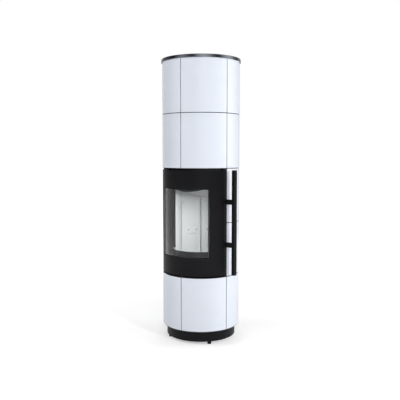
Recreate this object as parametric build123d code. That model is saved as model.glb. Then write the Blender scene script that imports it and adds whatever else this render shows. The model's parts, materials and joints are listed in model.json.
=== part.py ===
from build123d import *
import os
from math import asin, atan2, cos, degrees, hypot, radians, sin, sqrt, tan

# Round tiled stove, millimetres. The origin is on the floor under the stove's axis, +Z is up and
# the door faces -Y. A bearing is an angle in plan, counted from the front towards the right, +X.
full_turn = 360.0

# Gaps that many pieces share, and how far a cutter runs past the face it opens
seat_gap = 0.3
running_clearance = 0.05
overrun = 1.0

# Tiles
tile_radius = 260.0
tile_depth = 35.0
tile_face = 14.0
tile_rim = 14.0
tile_height = 350.0
tile_edge = 2.0
joint_width = 4.0
front_joint_bearing = 70.0
rear_joint_bearing = 140.0
tile_back = tile_radius - tile_depth
cutter_reach = 2 * tile_radius

# Courses of tiles, from the base up; the door stands before the second and third
base_top = 95.0
course_pitch = tile_height + joint_width
course_seats = [base_top + course_pitch * course for course in range(5)]
deck_top = course_seats[1]
lintel_top = course_seats[3]
tiles_top = course_seats[4] + tile_height

# Plinth and feet
plinth_inset = 27.0
plinth_radius = tile_radius - plinth_inset
plinth_sheet = 2.0
plinth_flange = 16.0
foot_height = 20.0
foot_radius = 13.0
foot_inset = 20.0
foot_ring_radius = plinth_radius - foot_inset
foot_bearings = (-45.0, 45.0, 135.0, -135.0)
base_thickness = 5.0
base_bottom = base_top - base_thickness
stud_radius = 6.0
stud_end_gap = 4.0
stud_top = base_bottom - stud_end_gap
stud_boss_radius = 12.0
stud_boss_height = 20.0

# Edge of the base, the shelf rings and the rear panel, behind the tiles' faces
shelf_inset = 4.0
shelf_outer = tile_radius - shelf_inset

# Air duct and damper
duct_radius = 50.0
duct_wall = 2.0
duct_floor_gap = 40.0
duct_bell_height = 21.0
duct_cone_height = 46.0
duct_flange_width = 10.0
duct_flange_sheet = 3.0
air_hole_radius = 12.0
air_hole_ring = 75.0
air_hole_count = 6
air_offset_angle = 12.0
bell_margin = 10.0
duct_bell_radius = air_hole_ring + air_hole_radius + bell_margin
damper_thickness = 3.0
damper_margin = 5.0
damper_radius = air_hole_ring + air_hole_radius + damper_margin
damper_gap = 0.4
lever_width = 16.0
lever_corner = 5.0
pivot_radius = 8.0
pivot_drop = 4.0

# Vents of the base plate
base_vent_from_duct = 60.0
base_vent_from_plinth = 58.0
base_vent_angle = 60.0
base_vent_bearings = (0.0, 90.0, 180.0, 270.0)

# Firebox body
convection_gap = 22.0
firebox_radius = tile_back - convection_gap
firebox_wall = 4.0
firebox_inner = firebox_radius - firebox_wall
firebox_below_lintel = 67.0
firebox_top = lintel_top - firebox_below_lintel
inner_sheet = 3.0
ash_floor_rise = 19.0
ash_floor_top = deck_top + ash_floor_rise
ash_space = 52.0
hearth_plate_top = ash_floor_top + ash_space
hearth_plate_thickness = 4.0
ash_door_half_width = 104.0
ash_door_top = hearth_plate_top - hearth_plate_thickness
lever_slot_height = 7.0
lever_slot_angle = 19.0
floor_slot_inset = 14.0
floor_slot_length = 35.0
floor_slot_angle = 18.0
floor_slot_bearings = (150.0, 180.0, 210.0)

# Uprights and the shelf rings that carry the courses of tiles
shelf_thickness = 3.0
shelf_flange_height = 18.0
post_width = 40.0
post_thickness = 6.0
post_gap = 3.0
post_turn_angle = 6.0
front_post_bearing = front_joint_bearing + post_turn_angle
rear_post_bearing = rear_joint_bearing - post_turn_angle
post_inner = firebox_radius + post_gap
post_outer = post_inner + post_thickness
shelf_flange_inner = post_outer + seat_gap
ring_inset = 2.0
convection_slot_gap = 1.0
convection_slot_width = 6.0
convection_slot_angle = 30.0
convection_slot_bearings = (0.0, 105.0, 180.0, 255.0)

# Top plate
lid_gap = 3.0
lid_overhang = 6.0
lid_radius = tile_radius + lid_overhang
lid_thickness = 4.0
lid_rim_width = 3.0
lid_rim_height = 21.0
lid_edge = 1.5
lid_bottom = tiles_top + lid_gap + shelf_thickness
stove_top = lid_bottom + lid_thickness

# Rear panel
panel_inset = 4.0
panel_radius = tile_radius - panel_inset
panel_sheet = 2.0
panel_flange = 14.0
panel_clearance = 0.6
panel_relief_gap = 1.0
vent_width = 8.0
vent_height = 46.0
vent_pitch_angle = 7.0
vents_in_row = 7
vent_rows = (base_top + 60.0, lintel_top + 40.0, tiles_top - 120.0)
knockout_radius = 76.0
knockout_depth = 1.0
knockout_groove = 2.0
knockout_below_top = 260.0

# Fire lining
lining_wall_gap = 49.0
lining_half_width = firebox_inner - lining_wall_gap
lining_front = -85.0
lining_corner = -10.0
lining_rear_half_width = 66.0
lining_rear_gap = 84.0
lining_rear = firebox_inner - lining_rear_gap
lining_thickness = 25.0
lining_joint = 3.0
field_margin = 25.0
field_depth = 5.0
field_corner = 10.0
hearth_thickness = 30.0
hearth_top = hearth_plate_top + hearth_thickness
hearth_reach = 41.0
hearth_side_gap = 1.0
boss_reach = 122.0
boss_height = 48.0
boss_rise = 166.0
boss_centre_height = hearth_top + boss_rise
back_boss_reach = 2 * lining_rear_half_width + boss_height
boss_hole_radius = 4.0
boss_hole_places = (36.0, 98.0)
back_hole_offset = 15.0
back_hole_places = (lining_rear_half_width - back_hole_offset, lining_rear_half_width + back_hole_offset)
boss_hole_depth = 14.0

# Grate and ash pan
grate_width = 150.0
grate_centre = -12.0
grate_thickness = 16.0
grate_corner = 6.0
grate_opening_clearance = 2.0
grate_slot_width = 9.0
grate_slot_pitch = 17.0
grate_bearing_width = 10.0
grate_rib = 10.0
pan_side_gap = 4.0
pan_headroom = 11.0
pan_depth = 250.0
pan_sheet = 2.0
pan_lip_width = 60.0
pan_lip_reach = 8.0
pan_lip_drop = 12.0

# Baffles
upper_baffle_thickness = 10.0
upper_baffle_below_roof = 30.0
upper_baffle_bottom = firebox_top - upper_baffle_below_roof
upper_baffle_rear = 60.0
upper_baffle_clearance = 1.0
baffle_thickness = 25.0
baffle_rear_drop = 116.0
baffle_rear_height = upper_baffle_bottom - baffle_rear_drop
baffle_angle = 21.3
baffle_front = -72.0
ledge_width = 11.0
ledge_thickness = 5.0
ledge_angle = 48.0

# Flue and heat store
flue_radius = 75.0
flue_wall = 2.0
socket_fit = 0.5
socket_radius = flue_radius + socket_fit
socket_wall = 3.0
socket_depth = 60.0
socket_ledge = 4.0
socket_skirt = 34.0
socket_below_lid = 3.0
socket_clearance = 3.0
socket_top = stove_top - socket_below_lid
pipe_top = socket_top - socket_depth - socket_ledge
store_post_gap = 10.0
store_outer = post_inner - store_post_gap
store_flue_gap = 13.0
store_inner = flue_radius + store_flue_gap
store_height = 225.0
store_count = 3
store_edge = 4.0

# Door skin, strip and window
door_recess = 1.0
door_radius = tile_radius - door_recess
door_skin = 3.0
skin_inner = door_radius - door_skin
door_deck_gap = 8.0
door_bottom = deck_top + door_deck_gap
door_lintel_gap = 14.0
door_top = lintel_top - door_lintel_gap
door_edge_angle = 0.6
door_edge_bearing = front_joint_bearing - door_edge_angle
strip_angle = 4.8
strip_bearing = door_edge_bearing - strip_angle
strip_leaf = 6.0
seam_width = 1.2
window_half_angle = 42.0
window_sill_height = 120.0
window_bottom = door_bottom + window_sill_height
window_head_height = 123.0
window_top = door_top - window_head_height
glass_thickness = 4.0
glass_overlap = 11.0
tape_thickness = 1.8
tape_margin = 1.0

# Mouth of the firebox, behind the window, and the seal around it
mouth_side_gap = 2.0
mouth_half_width = lining_half_width + mouth_side_gap
mouth_above_sill = 32.0
mouth_bottom = window_bottom + mouth_above_sill
mouth_over_window = 14.0
mouth_top = window_top + mouth_over_window
sill_setback = 15.0
sill_drop = 27.0
sill_top = mouth_bottom - sill_drop
seal_gap = 0.4
seal_thickness = 6.2
seal_width = 8.0
seal_side_angle = 6.5
seal_half_angle = degrees(asin(mouth_half_width / firebox_radius)) + seal_side_angle
seal_over_mouth = 12.0
seal_top = mouth_top + seal_over_mouth

# Air deflector
deflector_inset = 8.0
deflector_outer = firebox_radius - deflector_inset
deflector_drop = 33.0
deflector_low = mouth_top - deflector_drop
deflector_top = upper_baffle_bottom - seat_gap
deflector_arc_radius = 392.0
deflector_half_angle = 46.0

# Door casing
casing_back = firebox_radius + seal_gap + seal_thickness
casing_sheet = 3.0
casing_hinge_angle = 5.8
casing_left_bearing = casing_hinge_angle - door_edge_bearing
casing_latch_angle = 2.0
casing_right_bearing = strip_bearing - casing_latch_angle
casing_margin = 2.0
casing_bottom = door_bottom + casing_margin
casing_top = door_top - casing_margin
window_wall_margin = 2.0
lever_setback = 2.0
lever_reach = door_radius - lever_setback

# Hinge
hinge_inset = 13.0
hinge_depth = 8.0
hinge_radius = door_radius - hinge_depth
hinge_bearing = degrees(hinge_inset / door_radius) - door_edge_bearing
hinge_pin_radius = 4.0
hinge_pin_length = 24.0
hinge_block_height = 30.0
hinge_block_radius = 8.0
hinge_plate_thickness = 4.0
hinge_plate_width = 30.0
hinge_plate_inset = 6.0
hinge_plate_edge = 1.0
hinge_plate_turn_angle = 2.0

# Catches
catch_inset = 103.0
catch_heights = (door_bottom + catch_inset, door_top - catch_inset)
catch_roller_angle = 2.2
catch_bearing = front_joint_bearing - catch_roller_angle
catch_roller_out = 11.4
catch_roller_radius = 5.0
catch_roller_height = 14.0
catch_plate_thickness = 3.0
catch_arm_angle = 1.5
catch_fixing_angle = 4.0
nose_angle = 0.7
nose_edge_angle = 0.1
nose_end_bearing = front_joint_bearing - nose_edge_angle
nose_past_roller = 4.0
nose_inner = post_outer + catch_roller_out + nose_past_roller
nose_thickness = 3.0
nose_height = 12.0
nose_root_angle = 0.2

# Handle
handle_above_sill = 9.0
handle_bottom = door_bottom + handle_above_sill
handle_over_door = 1.0
handle_top = door_top + handle_over_door
handle_width = 25.0
handle_edge = 1.5
handle_turn_angle = 1.1
handle_bearing = door_edge_bearing + handle_turn_angle
handle_reach = 68.4
handle_radius = door_radius + handle_reach
lower_bracket_rise = 194.0
upper_bracket_drop = 205.0
bracket_heights = (handle_bottom + lower_bracket_rise, handle_top - upper_bracket_drop)
bracket_height = 32.0
bracket_thickness = 10.0
bracket_root_depth = 12.0
bracket_root_angle = 1.4
bracket_root_bearing = door_edge_bearing - bracket_root_angle


def at(radius, bearing):
    """The plan point at a radius and a bearing."""
    return radius * sin(radians(bearing)), -radius * cos(radians(bearing))


def arc_angle(length, radius):
    """The angle that a length takes up on a circle."""
    return degrees(length / radius)


def chord_depth(radius, half_width):
    """How far in front of the axis a circle lies at a half width."""
    return sqrt(radius**2 - half_width**2)


def turned(outline, start=0.0, end=full_turn):
    """Solid that a closed outline of (radius, height) points sweeps from one bearing to another."""
    face = make_face(Polyline(*outline, close=True))
    placed = Rot(0, 0, start - 90.0) * (Plane.XZ * face)
    return revolve(placed, axis=Axis.Z, revolution_arc=end - start)


def sector(inner, outer, start, end, bottom, top):
    """Block between two radii, two bearings and two heights."""
    return turned([(inner, bottom), (outer, bottom), (outer, top), (inner, top)], start, end)


def ring(inner, outer, bottom, top):
    """Full ring between two radii and two heights."""
    return sector(inner, outer, 0.0, full_turn, bottom, top)


def rod(radius, x, y, bottom, top):
    """Upright round bar."""
    return Pos(x, y, (bottom + top) / 2) * Cylinder(radius, top - bottom)


def block(x0, x1, y0, y1, z0, z1):
    """Box between two corners."""
    return Pos((x0 + x1) / 2, (y0 + y1) / 2, (z0 + z1) / 2) * Box(x1 - x0, y1 - y0, z1 - z0)


def slab(points, bottom, top):
    """Upright prism on a plan outline."""
    return Pos(0, 0, bottom) * extrude(make_face(Polyline(*points, close=True)), top - bottom)


def save(node, *solids):
    """Write the solids of one node."""
    solid = solids[0] if len(solids) == 1 else Compound(children=list(solids))
    export_step(solid, f"parts/{node}.step")


# Tiles


def tile(start, end, bottom, top):
    """Hollow-backed glazed tile: a curved face with a rim and a middle rib behind it."""
    left = start + arc_angle(joint_width / 2, tile_radius)
    right = end - arc_angle(joint_width / 2, tile_radius)
    outline = [
        (tile_back, bottom),
        (tile_radius - tile_edge, bottom),
        (tile_radius, bottom + tile_edge),
        (tile_radius, top - tile_edge),
        (tile_radius - tile_edge, top),
        (tile_back, top),
    ]
    body = turned(outline, left, right)
    rim = arc_angle(tile_rim, tile_back)
    middle = (left + right) / 2
    for low, high in ((left + rim, middle - rim / 2), (middle + rim / 2, right - rim)):
        pocket = sector(tile_back - overrun, tile_radius - tile_face, low, high, bottom + tile_rim,
                        top - tile_rim)
        body -= pocket
    return body


def save_tiles():
    """Courses of tiles: all round below and above the door, and at its sides beside it."""
    columns = {
        "front_left": (-front_joint_bearing, 0.0),
        "front_right": (0.0, front_joint_bearing),
        "side_right": (front_joint_bearing, rear_joint_bearing),
        "side_left": (-rear_joint_bearing, -front_joint_bearing),
    }
    for course, seat in enumerate(course_seats):
        beside_door = deck_top <= seat < lintel_top
        for column, (start, end) in columns.items():
            if beside_door and column.startswith("front"):
                continue
            save(f"tile_{course + 1}_{column}", tile(start, end, seat, seat + tile_height))


# Plinth, feet and frame


def foot_points():
    """Plan points of the four feet."""
    return [at(foot_ring_radius, bearing) for bearing in foot_bearings]


def foot(x, y):
    """Levelling foot: round pad with a threaded stud."""
    pad = rod(foot_radius, x, y, 0.0, foot_height)
    return pad + rod(stud_radius, x, y, foot_height, stud_top)


def plinth_skirt():
    """Round skirt with a flange that is screwed under the base plate."""
    inner = plinth_radius - plinth_sheet
    outline = [
        (inner, foot_height),
        (plinth_radius, foot_height),
        (plinth_radius, base_bottom),
        (plinth_radius - plinth_flange, base_bottom),
        (plinth_radius - plinth_flange, base_bottom - plinth_sheet),
        (inner, base_bottom - plinth_sheet),
    ]
    skirt = turned(outline)
    for x, y in foot_points():
        skirt -= rod(stud_boss_radius + seat_gap, x, y, foot_height, base_top)
    return skirt


def base_plate():
    """Round base with a boss for each foot, a hole for the air duct and four vents."""
    plate = rod(shelf_outer, 0, 0, base_bottom, base_top)
    for x, y in foot_points():
        plate += rod(stud_boss_radius, x, y, base_bottom - stud_boss_height, base_bottom)
    for x, y in foot_points():
        plate -= rod(stud_radius + running_clearance, x, y, foot_height, base_top)
    inner, outer = duct_radius + base_vent_from_duct, plinth_radius - base_vent_from_plinth
    half = base_vent_angle / 2
    for bearing in base_vent_bearings:
        plate -= sector(inner, outer, bearing - half, bearing + half, base_bottom, base_top)
    return plate - rod(duct_radius + seat_gap, 0, 0, base_bottom, base_top)


def posts(bottom, top):
    """Four flat uprights of one storey, rounded on the outside to meet the shelf rings."""
    solids = []
    for bearing in (-rear_post_bearing, -front_post_bearing, front_post_bearing, rear_post_bearing):
        bar = block(-post_width / 2, post_width / 2, -post_outer, -post_inner, bottom, top)
        bar &= rod(post_outer, 0, 0, bottom, top)
        solids.append(Rot(0, 0, bearing) * bar)
    return solids


def shelf(seat, inner, flange_side, start=0.0, end=360.0):
    """Angle ring under one course: a flat shelf and a flange outside the posts, +1 up or -1 down."""
    bottom = seat - shelf_thickness
    flange_outer = shelf_flange_inner + shelf_thickness
    if flange_side > 0:
        flange = sector(shelf_flange_inner, flange_outer, start, end, bottom, seat + shelf_flange_height)
    else:
        flange = sector(shelf_flange_inner, flange_outer, start, end, bottom - shelf_flange_height, seat)
    body = sector(inner, shelf_outer, start, end, bottom, seat) + flange
    return body - rear_notch(bottom, seat)


def rear_notch(bottom, top):
    """Room for the rear panel at the edge of a shelf."""
    edge = arc_angle(joint_width, tile_radius)
    inner = panel_radius - panel_sheet - panel_clearance
    start = rear_joint_bearing - edge
    return sector(inner, shelf_outer + overrun, start, full_turn - start, bottom - overrun, top + overrun)


def convection_slots(body, bottom, top):
    """Arc slots that let room air rise between the firebox and the tiles."""
    inner = shelf_flange_inner + shelf_thickness + convection_slot_gap
    half = convection_slot_angle / 2
    for bearing in convection_slot_bearings:
        body -= sector(inner, inner + convection_slot_width, bearing - half, bearing + half, bottom, top)
    return body


def deck_plate():
    """Deck that carries the firebox and the second course, with holes for the firebox's air."""
    bottom = deck_top - shelf_thickness
    deck = shelf(deck_top, pivot_radius + running_clearance, -1)
    for index in range(air_hole_count):
        x, y = at(air_hole_ring, index * full_turn / air_hole_count)
        deck -= rod(air_hole_radius, x, y, bottom, deck_top)
    return convection_slots(deck, bottom, deck_top)


def lintel_ring():
    """Ring over the door that carries the upper storey."""
    lintel = shelf(lintel_top, post_inner - ring_inset, +1)
    return convection_slots(lintel, lintel_top - shelf_thickness, lintel_top)


def middle_shelf():
    """Open ring beside the firebox that carries the third course."""
    end = full_turn - front_joint_bearing - arc_angle(joint_width, tile_radius)
    return shelf(course_seats[2], shelf_flange_inner, +1, full_turn - end, end)


def upper_shelf():
    """Ring that carries the top course."""
    return shelf(course_seats[4], shelf_flange_inner, +1)


def top_ring():
    """Ring on the uprights that the top plate lies on."""
    bottom = lid_bottom - shelf_thickness
    return ring(post_inner - ring_inset, shelf_outer, bottom, lid_bottom)


def top_plate():
    """Round lid with a turned-down rim and a hole for the flue socket."""
    hole = socket_radius + socket_wall + socket_clearance
    rim_inner = lid_radius - lid_rim_width
    outline = [
        (hole, lid_bottom),
        (rim_inner, lid_bottom),
        (rim_inner, stove_top - lid_rim_height),
        (lid_radius, stove_top - lid_rim_height),
        (lid_radius, stove_top - lid_edge),
        (lid_radius - lid_edge, stove_top),
        (hole, stove_top),
    ]
    return turned(outline)


def rear_panel():
    """Folded sheet between the side tiles, with rows of vents and a blanked rear flue outlet."""
    edge = arc_angle(joint_width / 2, tile_radius)
    start, end = rear_joint_bearing + edge, full_turn - rear_joint_bearing - edge
    inner = panel_radius - panel_sheet
    panel = sector(inner, panel_radius, start, end, base_top, tiles_top)
    fold = arc_angle(panel_sheet, panel_radius)
    for low in (start, end - fold):
        panel += sector(inner - panel_flange, inner, low, low + fold, base_top + panel_relief_gap,
                        tiles_top - panel_relief_gap)
    # The fold's flanges are relieved where a shelf passes.
    for seat in course_seats[1:]:
        relief = sector(inner - panel_flange - overrun, inner, start - overrun, end + overrun,
                        seat - shelf_thickness - panel_relief_gap, seat + panel_relief_gap)
        panel -= relief
    for row in vent_rows:
        for index in range(vents_in_row):
            turn = (index - (vents_in_row - 1) / 2) * vent_pitch_angle
            slot = block(-vent_width / 2, vent_width / 2, inner - panel_sheet, panel_radius + overrun, row,
                         row + vent_height)
            panel -= Rot(0, 0, turn) * slot
    centre = tiles_top - knockout_below_top
    groove = Cylinder(knockout_radius, cutter_reach)
    groove -= Cylinder(knockout_radius - knockout_groove, cutter_reach)
    groove = Pos(0, panel_radius, centre) * (Rot(90, 0, 0) * groove)
    skin = sector(panel_radius - knockout_depth, panel_radius + overrun, start, end, base_top, tiles_top)
    return panel - (groove & skin)


# Firebox


def firebox_body():
    """Welded drum with its roof, its openings at the front and the ledges of the upper baffle."""
    inner = firebox_inner
    body = ring(inner, firebox_radius, deck_top, firebox_top)
    body += ring(flue_radius - flue_wall, firebox_radius, firebox_top - firebox_wall, firebox_top)
    width = mouth_half_width
    body -= block(-width, width, -firebox_radius - overrun, 0, mouth_bottom, mouth_top)
    ash_width = ash_door_half_width
    body -= block(-ash_width, ash_width, -firebox_radius - overrun, overrun - chord_depth(inner, ash_width),
                  ash_floor_top, ash_door_top)
    slot = lever_slot_angle
    body -= sector(inner - overrun, firebox_radius + overrun, -slot, slot, deck_top,
                   deck_top + lever_slot_height)
    reveal = block(width, width + inner_sheet, -chord_depth(inner, width), lining_front - seat_gap,
                   mouth_bottom, mouth_top)
    ledge = sector(inner - ledge_width, inner, 90 - ledge_angle / 2, 90 + ledge_angle / 2,
                   upper_baffle_bottom - ledge_thickness, upper_baffle_bottom)
    for piece in (reveal & rod(inner, 0, 0, mouth_bottom, mouth_top), ledge):
        body += piece + mirror(piece, about=Plane.YZ)
    return body


def ash_floor():
    """Floor that the ash pan slides on, with slots at the rear where air rises from the damper."""
    bottom = ash_floor_top - inner_sheet
    floor = rod(firebox_inner - seat_gap, 0, 0, bottom, ash_floor_top)
    slot_outer, half = firebox_inner - floor_slot_inset, floor_slot_angle / 2
    slot_inner = slot_outer - floor_slot_length
    for bearing in floor_slot_bearings:
        floor -= sector(slot_inner, slot_outer, bearing - half, bearing + half, bottom, ash_floor_top)
    return floor


def hearth_plate():
    """Plate under the hearth stone and the lining, open below the grate."""
    plate = rod(firebox_inner - seat_gap, 0, 0, ash_door_top, hearth_plate_top)
    half = grate_width / 2 - grate_bearing_width
    return plate - block(-half, half, grate_centre - half, grate_centre + half, ash_door_top, hearth_plate_top)


def lining_path():
    """Inner and outer plan points of the lining, mitred, from the right front round to the left."""
    inner = [
        (lining_half_width, lining_front),
        (lining_half_width, lining_corner),
        (lining_rear_half_width, lining_rear),
    ]
    run_x = lining_half_width - lining_rear_half_width
    run_y = lining_rear - lining_corner
    slant = degrees(atan2(run_x, run_y))
    side_shift = lining_thickness * tan(radians(slant / 2))
    rear_shift = lining_thickness * tan(radians((90.0 - slant) / 2))
    outer = [
        (lining_half_width + lining_thickness, lining_front),
        (lining_half_width + lining_thickness, lining_corner + side_shift),
        (lining_rear_half_width + rear_shift, lining_rear + lining_thickness),
    ]
    return inner, outer


def mirrored(points):
    """The same plan points on the left, in the opposite order."""
    return [(-x, y) for x, y in reversed(points)]


def baffle_block(points, lift, thickness):
    """Plate on a plan outline, parallel to the baffle's slope, lift above its underside."""
    slope = tan(radians(baffle_angle))
    low_y, high_y = -cutter_reach, cutter_reach
    profile = [
        (low_y, baffle_rear_height + (lining_rear - low_y) * slope + lift),
        (high_y, baffle_rear_height + (lining_rear - high_y) * slope + lift),
        (high_y, baffle_rear_height + (lining_rear - high_y) * slope + lift + thickness),
        (low_y, baffle_rear_height + (lining_rear - low_y) * slope + lift + thickness),
    ]
    face = make_face(Plane.YZ * Polyline(*profile, close=True))
    wedge = extrude(face, amount=cutter_reach, both=True)
    return slab(points, ash_floor_top, firebox_top + cutter_reach) & wedge


def field_cutter(corner, far, far_margin, reach, hole_places):
    """Cutter for one panel's front face: a sunk field round a boss that runs in from the rim.

    The boss, its air holes and the near margin are measured from the corner with the next panel.
    """
    width = hypot(far[0] - corner[0], far[1] - corner[1])
    turn = degrees(atan2(far[1] - corner[1], far[0] - corner[0]))
    low = hearth_top + field_margin
    high = baffle_rear_height - field_margin
    rise = boss_centre_height - (low + high) / 2
    field = Pos((field_margin - far_margin) / 2, 0) * RectangleRounded(
        width - field_margin - far_margin, high - low, field_corner
    )
    boss = Pos((reach - width) / 2, rise) * SlotOverall(reach, boss_height)
    cutter = extrude(field - boss, amount=2 * field_depth, both=True) & Box(width, high, 2 * field_depth)
    for place in hole_places:
        cutter += Pos(place - width / 2, rise, 0) * Cylinder(boss_hole_radius, 2 * boss_hole_depth)
    middle = Pos((corner[0] + far[0]) / 2, (corner[1] + far[1]) / 2, (low + high) / 2)
    return middle * Rot(0, 0, turn) * Rot(90, 0, 0) * cutter


def joint_gap(near, beyond):
    """Expansion gap between two lining boards, along their mitre from its inner to its outer point."""
    run_x, run_y = beyond[0] - near[0], beyond[1] - near[1]
    run = hypot(run_x, run_y)
    turn = degrees(atan2(run_y, run_x))
    middle = ((near[0] + beyond[0]) / 2, (near[1] + beyond[1]) / 2, (hearth_plate_top + firebox_top) / 2)
    return Pos(*middle) * Rot(0, 0, turn) * Box(3 * run, lining_joint, firebox_top - hearth_plate_top)


def save_lining():
    """Cheeks, slanting rear panels and back panel, with tops cut to the baffle's slope."""
    inner, outer = lining_path()
    far = cutter_reach
    over = baffle_block([(-far, -far), (far, -far), (far, far), (-far, far)], 0.0, far)
    outlines = {
        "lining_cheek_right": [inner[0], inner[1], outer[1], outer[0]],
        "lining_rear_right": [inner[1], inner[2], outer[2], outer[1]],
        "lining_back": [inner[2], *mirrored(inner[2:]), *mirrored(outer[2:]), outer[2]],
        "lining_rear_left": mirrored([inner[1], inner[2], outer[2], outer[1]]),
        "lining_cheek_left": mirrored([inner[0], inner[1], outer[1], outer[0]]),
    }
    left, left_outer = mirrored(inner), mirrored(outer)
    mitres = [(inner[1], outer[1]), (inner[2], outer[2]), (left[0], left_outer[0]), (left[1], left_outer[1])]
    joints = [joint_gap(*mitre) for mitre in mitres]
    beyond = -field_corner
    fields = {
        "lining_rear_right": (inner[2], inner[1], beyond, boss_reach, boss_hole_places),
        "lining_back": (inner[2], left[0], field_margin, back_boss_reach, back_hole_places),
        "lining_rear_left": (left[0], left[1], beyond, boss_reach, boss_hole_places),
    }
    for node, points in outlines.items():
        panel = slab(points, hearth_plate_top, firebox_top) - over - joints
        if node in fields:
            panel -= field_cutter(*fields[node])
        save(node, panel)


def hearth_stone():
    """Hearth slab that fills the plan between the linings, around the grate."""
    inner, _ = lining_path()
    front = (lining_half_width - hearth_side_gap, lining_front - hearth_reach)
    points = [front, *[(x - seat_gap, y - seat_gap) for x, y in inner[1:]]]
    plan = [*points, *mirrored(points)]
    stone = slab(plan, hearth_plate_top, hearth_top)
    half = grate_width / 2 + grate_opening_clearance
    return stone - block(-half, half, grate_centre - half, grate_centre + half, hearth_plate_top, hearth_top)


def grate():
    """Cast grate with a bearing edge and rows of slots, which lifts out of the hearth."""
    half = grate_width / 2
    bottom = hearth_plate_top + seat_gap
    plate = block(-half, half, grate_centre - half, grate_centre + half, bottom, bottom + grate_thickness)
    plate = fillet(plate.edges().filter_by(Axis.Z), grate_corner)
    slots = int((grate_width - 2 * grate_bearing_width) / grate_slot_pitch)
    for index in range(slots):
        x = (index - (slots - 1) / 2) * grate_slot_pitch
        reach, rib = half - grate_bearing_width, grate_rib / 2
        for low, high in ((-reach, -rib), (rib, reach)):
            plate -= block(x - grate_slot_width / 2, x + grate_slot_width / 2, grate_centre + low,
                           grate_centre + high, bottom, bottom + grate_thickness)
    return plate


def ash_pan():
    """Folded ash pan with a lipped front, which draws out once the door is open."""
    half = ash_door_half_width - pan_side_gap
    low, high = ash_floor_top + seat_gap, ash_door_top - pan_headroom
    front = seat_gap - chord_depth(firebox_radius, half)
    back = front + pan_depth
    sheet = pan_sheet
    pan = block(-half, half, front, back, low, high)
    pan -= block(sheet - half, half - sheet, front + sheet, back - sheet, low + sheet, high)
    lip, lip_low = pan_lip_width / 2, high - pan_lip_drop
    return pan + block(-lip, lip, front - pan_lip_reach, front, lip_low, lip_low + inner_sheet)


def baffle_lower():
    """Sloping baffle that lies on the linings."""
    _, outer = lining_path()
    right = [(outer[0][0], baffle_front), *outer[1:]]
    return baffle_block([*right, *mirrored(right)], 0.0, baffle_thickness / cos(radians(baffle_angle)))


def baffle_upper():
    """Flat baffle on the ledges, open at the rear."""
    radius = firebox_inner - upper_baffle_clearance
    plate = rod(radius, 0, 0, upper_baffle_bottom, upper_baffle_bottom + upper_baffle_thickness)
    return plate & block(-radius, radius, -radius, upper_baffle_rear, upper_baffle_bottom, firebox_top)


def air_deflector():
    """Curved plate inside the mouth's top that sends air down the glass; its lower edge bows down."""
    inner = deflector_outer - inner_sheet
    half = deflector_half_angle
    flange_outer = firebox_inner - seat_gap
    outline = [
        (inner, deflector_low),
        (deflector_outer, deflector_low),
        (deflector_outer, deflector_top - inner_sheet),
        (flange_outer, deflector_top - inner_sheet),
        (flange_outer, deflector_top),
        (inner, deflector_top),
    ]
    plate = turned(outline, -half, half)
    bow = Pos(0, 0, deflector_low + deflector_arc_radius) * Rot(90, 0, 0)
    return plate & (bow * Cylinder(deflector_arc_radius, 2 * firebox_radius))


def sill_plate():
    """Sill inside the mouth that keeps the logs and embers back."""
    half = mouth_half_width - hearth_side_gap
    back = lining_front - sill_setback
    sill = block(-half, half, -firebox_inner, back, sill_top - inner_sheet, sill_top)
    sill += block(-half, half, back - inner_sheet, back, hearth_top, sill_top)
    return sill & rod(firebox_inner - seat_gap, 0, 0, hearth_top, sill_top)


# Air supply


def air_duct():
    """Round duct from the plinth up to a bell under the deck, with a fixing flange."""
    inner, bell = duct_radius - duct_wall, duct_bell_radius - duct_wall
    top = deck_top - shelf_thickness
    bell_bottom = top - duct_bell_height
    cone_bottom = bell_bottom - duct_cone_height
    flange, flange_bottom = duct_radius + duct_flange_width, base_bottom - duct_flange_sheet
    outline = [
        (inner, duct_floor_gap),
        (duct_radius, duct_floor_gap),
        (duct_radius, flange_bottom),
        (flange, flange_bottom),
        (flange, base_bottom),
        (duct_radius, base_bottom),
        (duct_radius, cone_bottom),
        (duct_bell_radius, bell_bottom),
        (duct_bell_radius, top),
        (bell, top),
        (bell, bell_bottom),
        (inner, cone_bottom),
    ]
    return turned(outline)


def air_slide():
    """Damper disc on a centre pin, with the lever that ends in the gap under the door."""
    bottom = deck_top + damper_gap
    top = bottom + damper_thickness
    slide = rod(damper_radius, 0, 0, bottom, top)
    slide += rod(pivot_radius, 0, 0, deck_top - shelf_thickness - pivot_drop, bottom)
    slide += block(-lever_width / 2, lever_width / 2, -lever_reach, 0, bottom, top)
    for index in range(air_hole_count):
        x, y = at(air_hole_ring, index * full_turn / air_hole_count + air_offset_angle)
        slide -= rod(air_hole_radius, x, y, bottom, top)
    end_edges = slide.edges().filter_by(Axis.Z).sort_by(Axis.Y)[:2]
    return fillet(end_edges, lever_corner)


# Flue and heat store


def flue_pipe():
    """Pipe from the firebox roof to the socket."""
    return ring(flue_radius - flue_wall, flue_radius, firebox_top, pipe_top)


def flue_socket():
    """Socket that takes the chimney pipe, seated on the pipe by a ledge."""
    outer = socket_radius + socket_wall
    bottom = pipe_top - socket_skirt
    ledge_inner = flue_radius - flue_wall
    outline = [
        (socket_radius, bottom),
        (outer, bottom),
        (outer, socket_top),
        (socket_radius, socket_top),
        (socket_radius, pipe_top + socket_ledge),
        (ledge_inner, pipe_top + socket_ledge),
        (ledge_inner, pipe_top),
        (socket_radius, pipe_top),
    ]
    return turned(outline)


def store_block(index):
    """One ring of the heat store around the flue."""
    bottom = firebox_top + index * store_height
    top = bottom + store_height
    outline = [
        (store_inner, bottom),
        (store_outer - store_edge, bottom),
        (store_outer, bottom + store_edge),
        (store_outer, top - store_edge),
        (store_outer - store_edge, top),
        (store_inner, top),
    ]
    return turned(outline)


# Door


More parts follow.
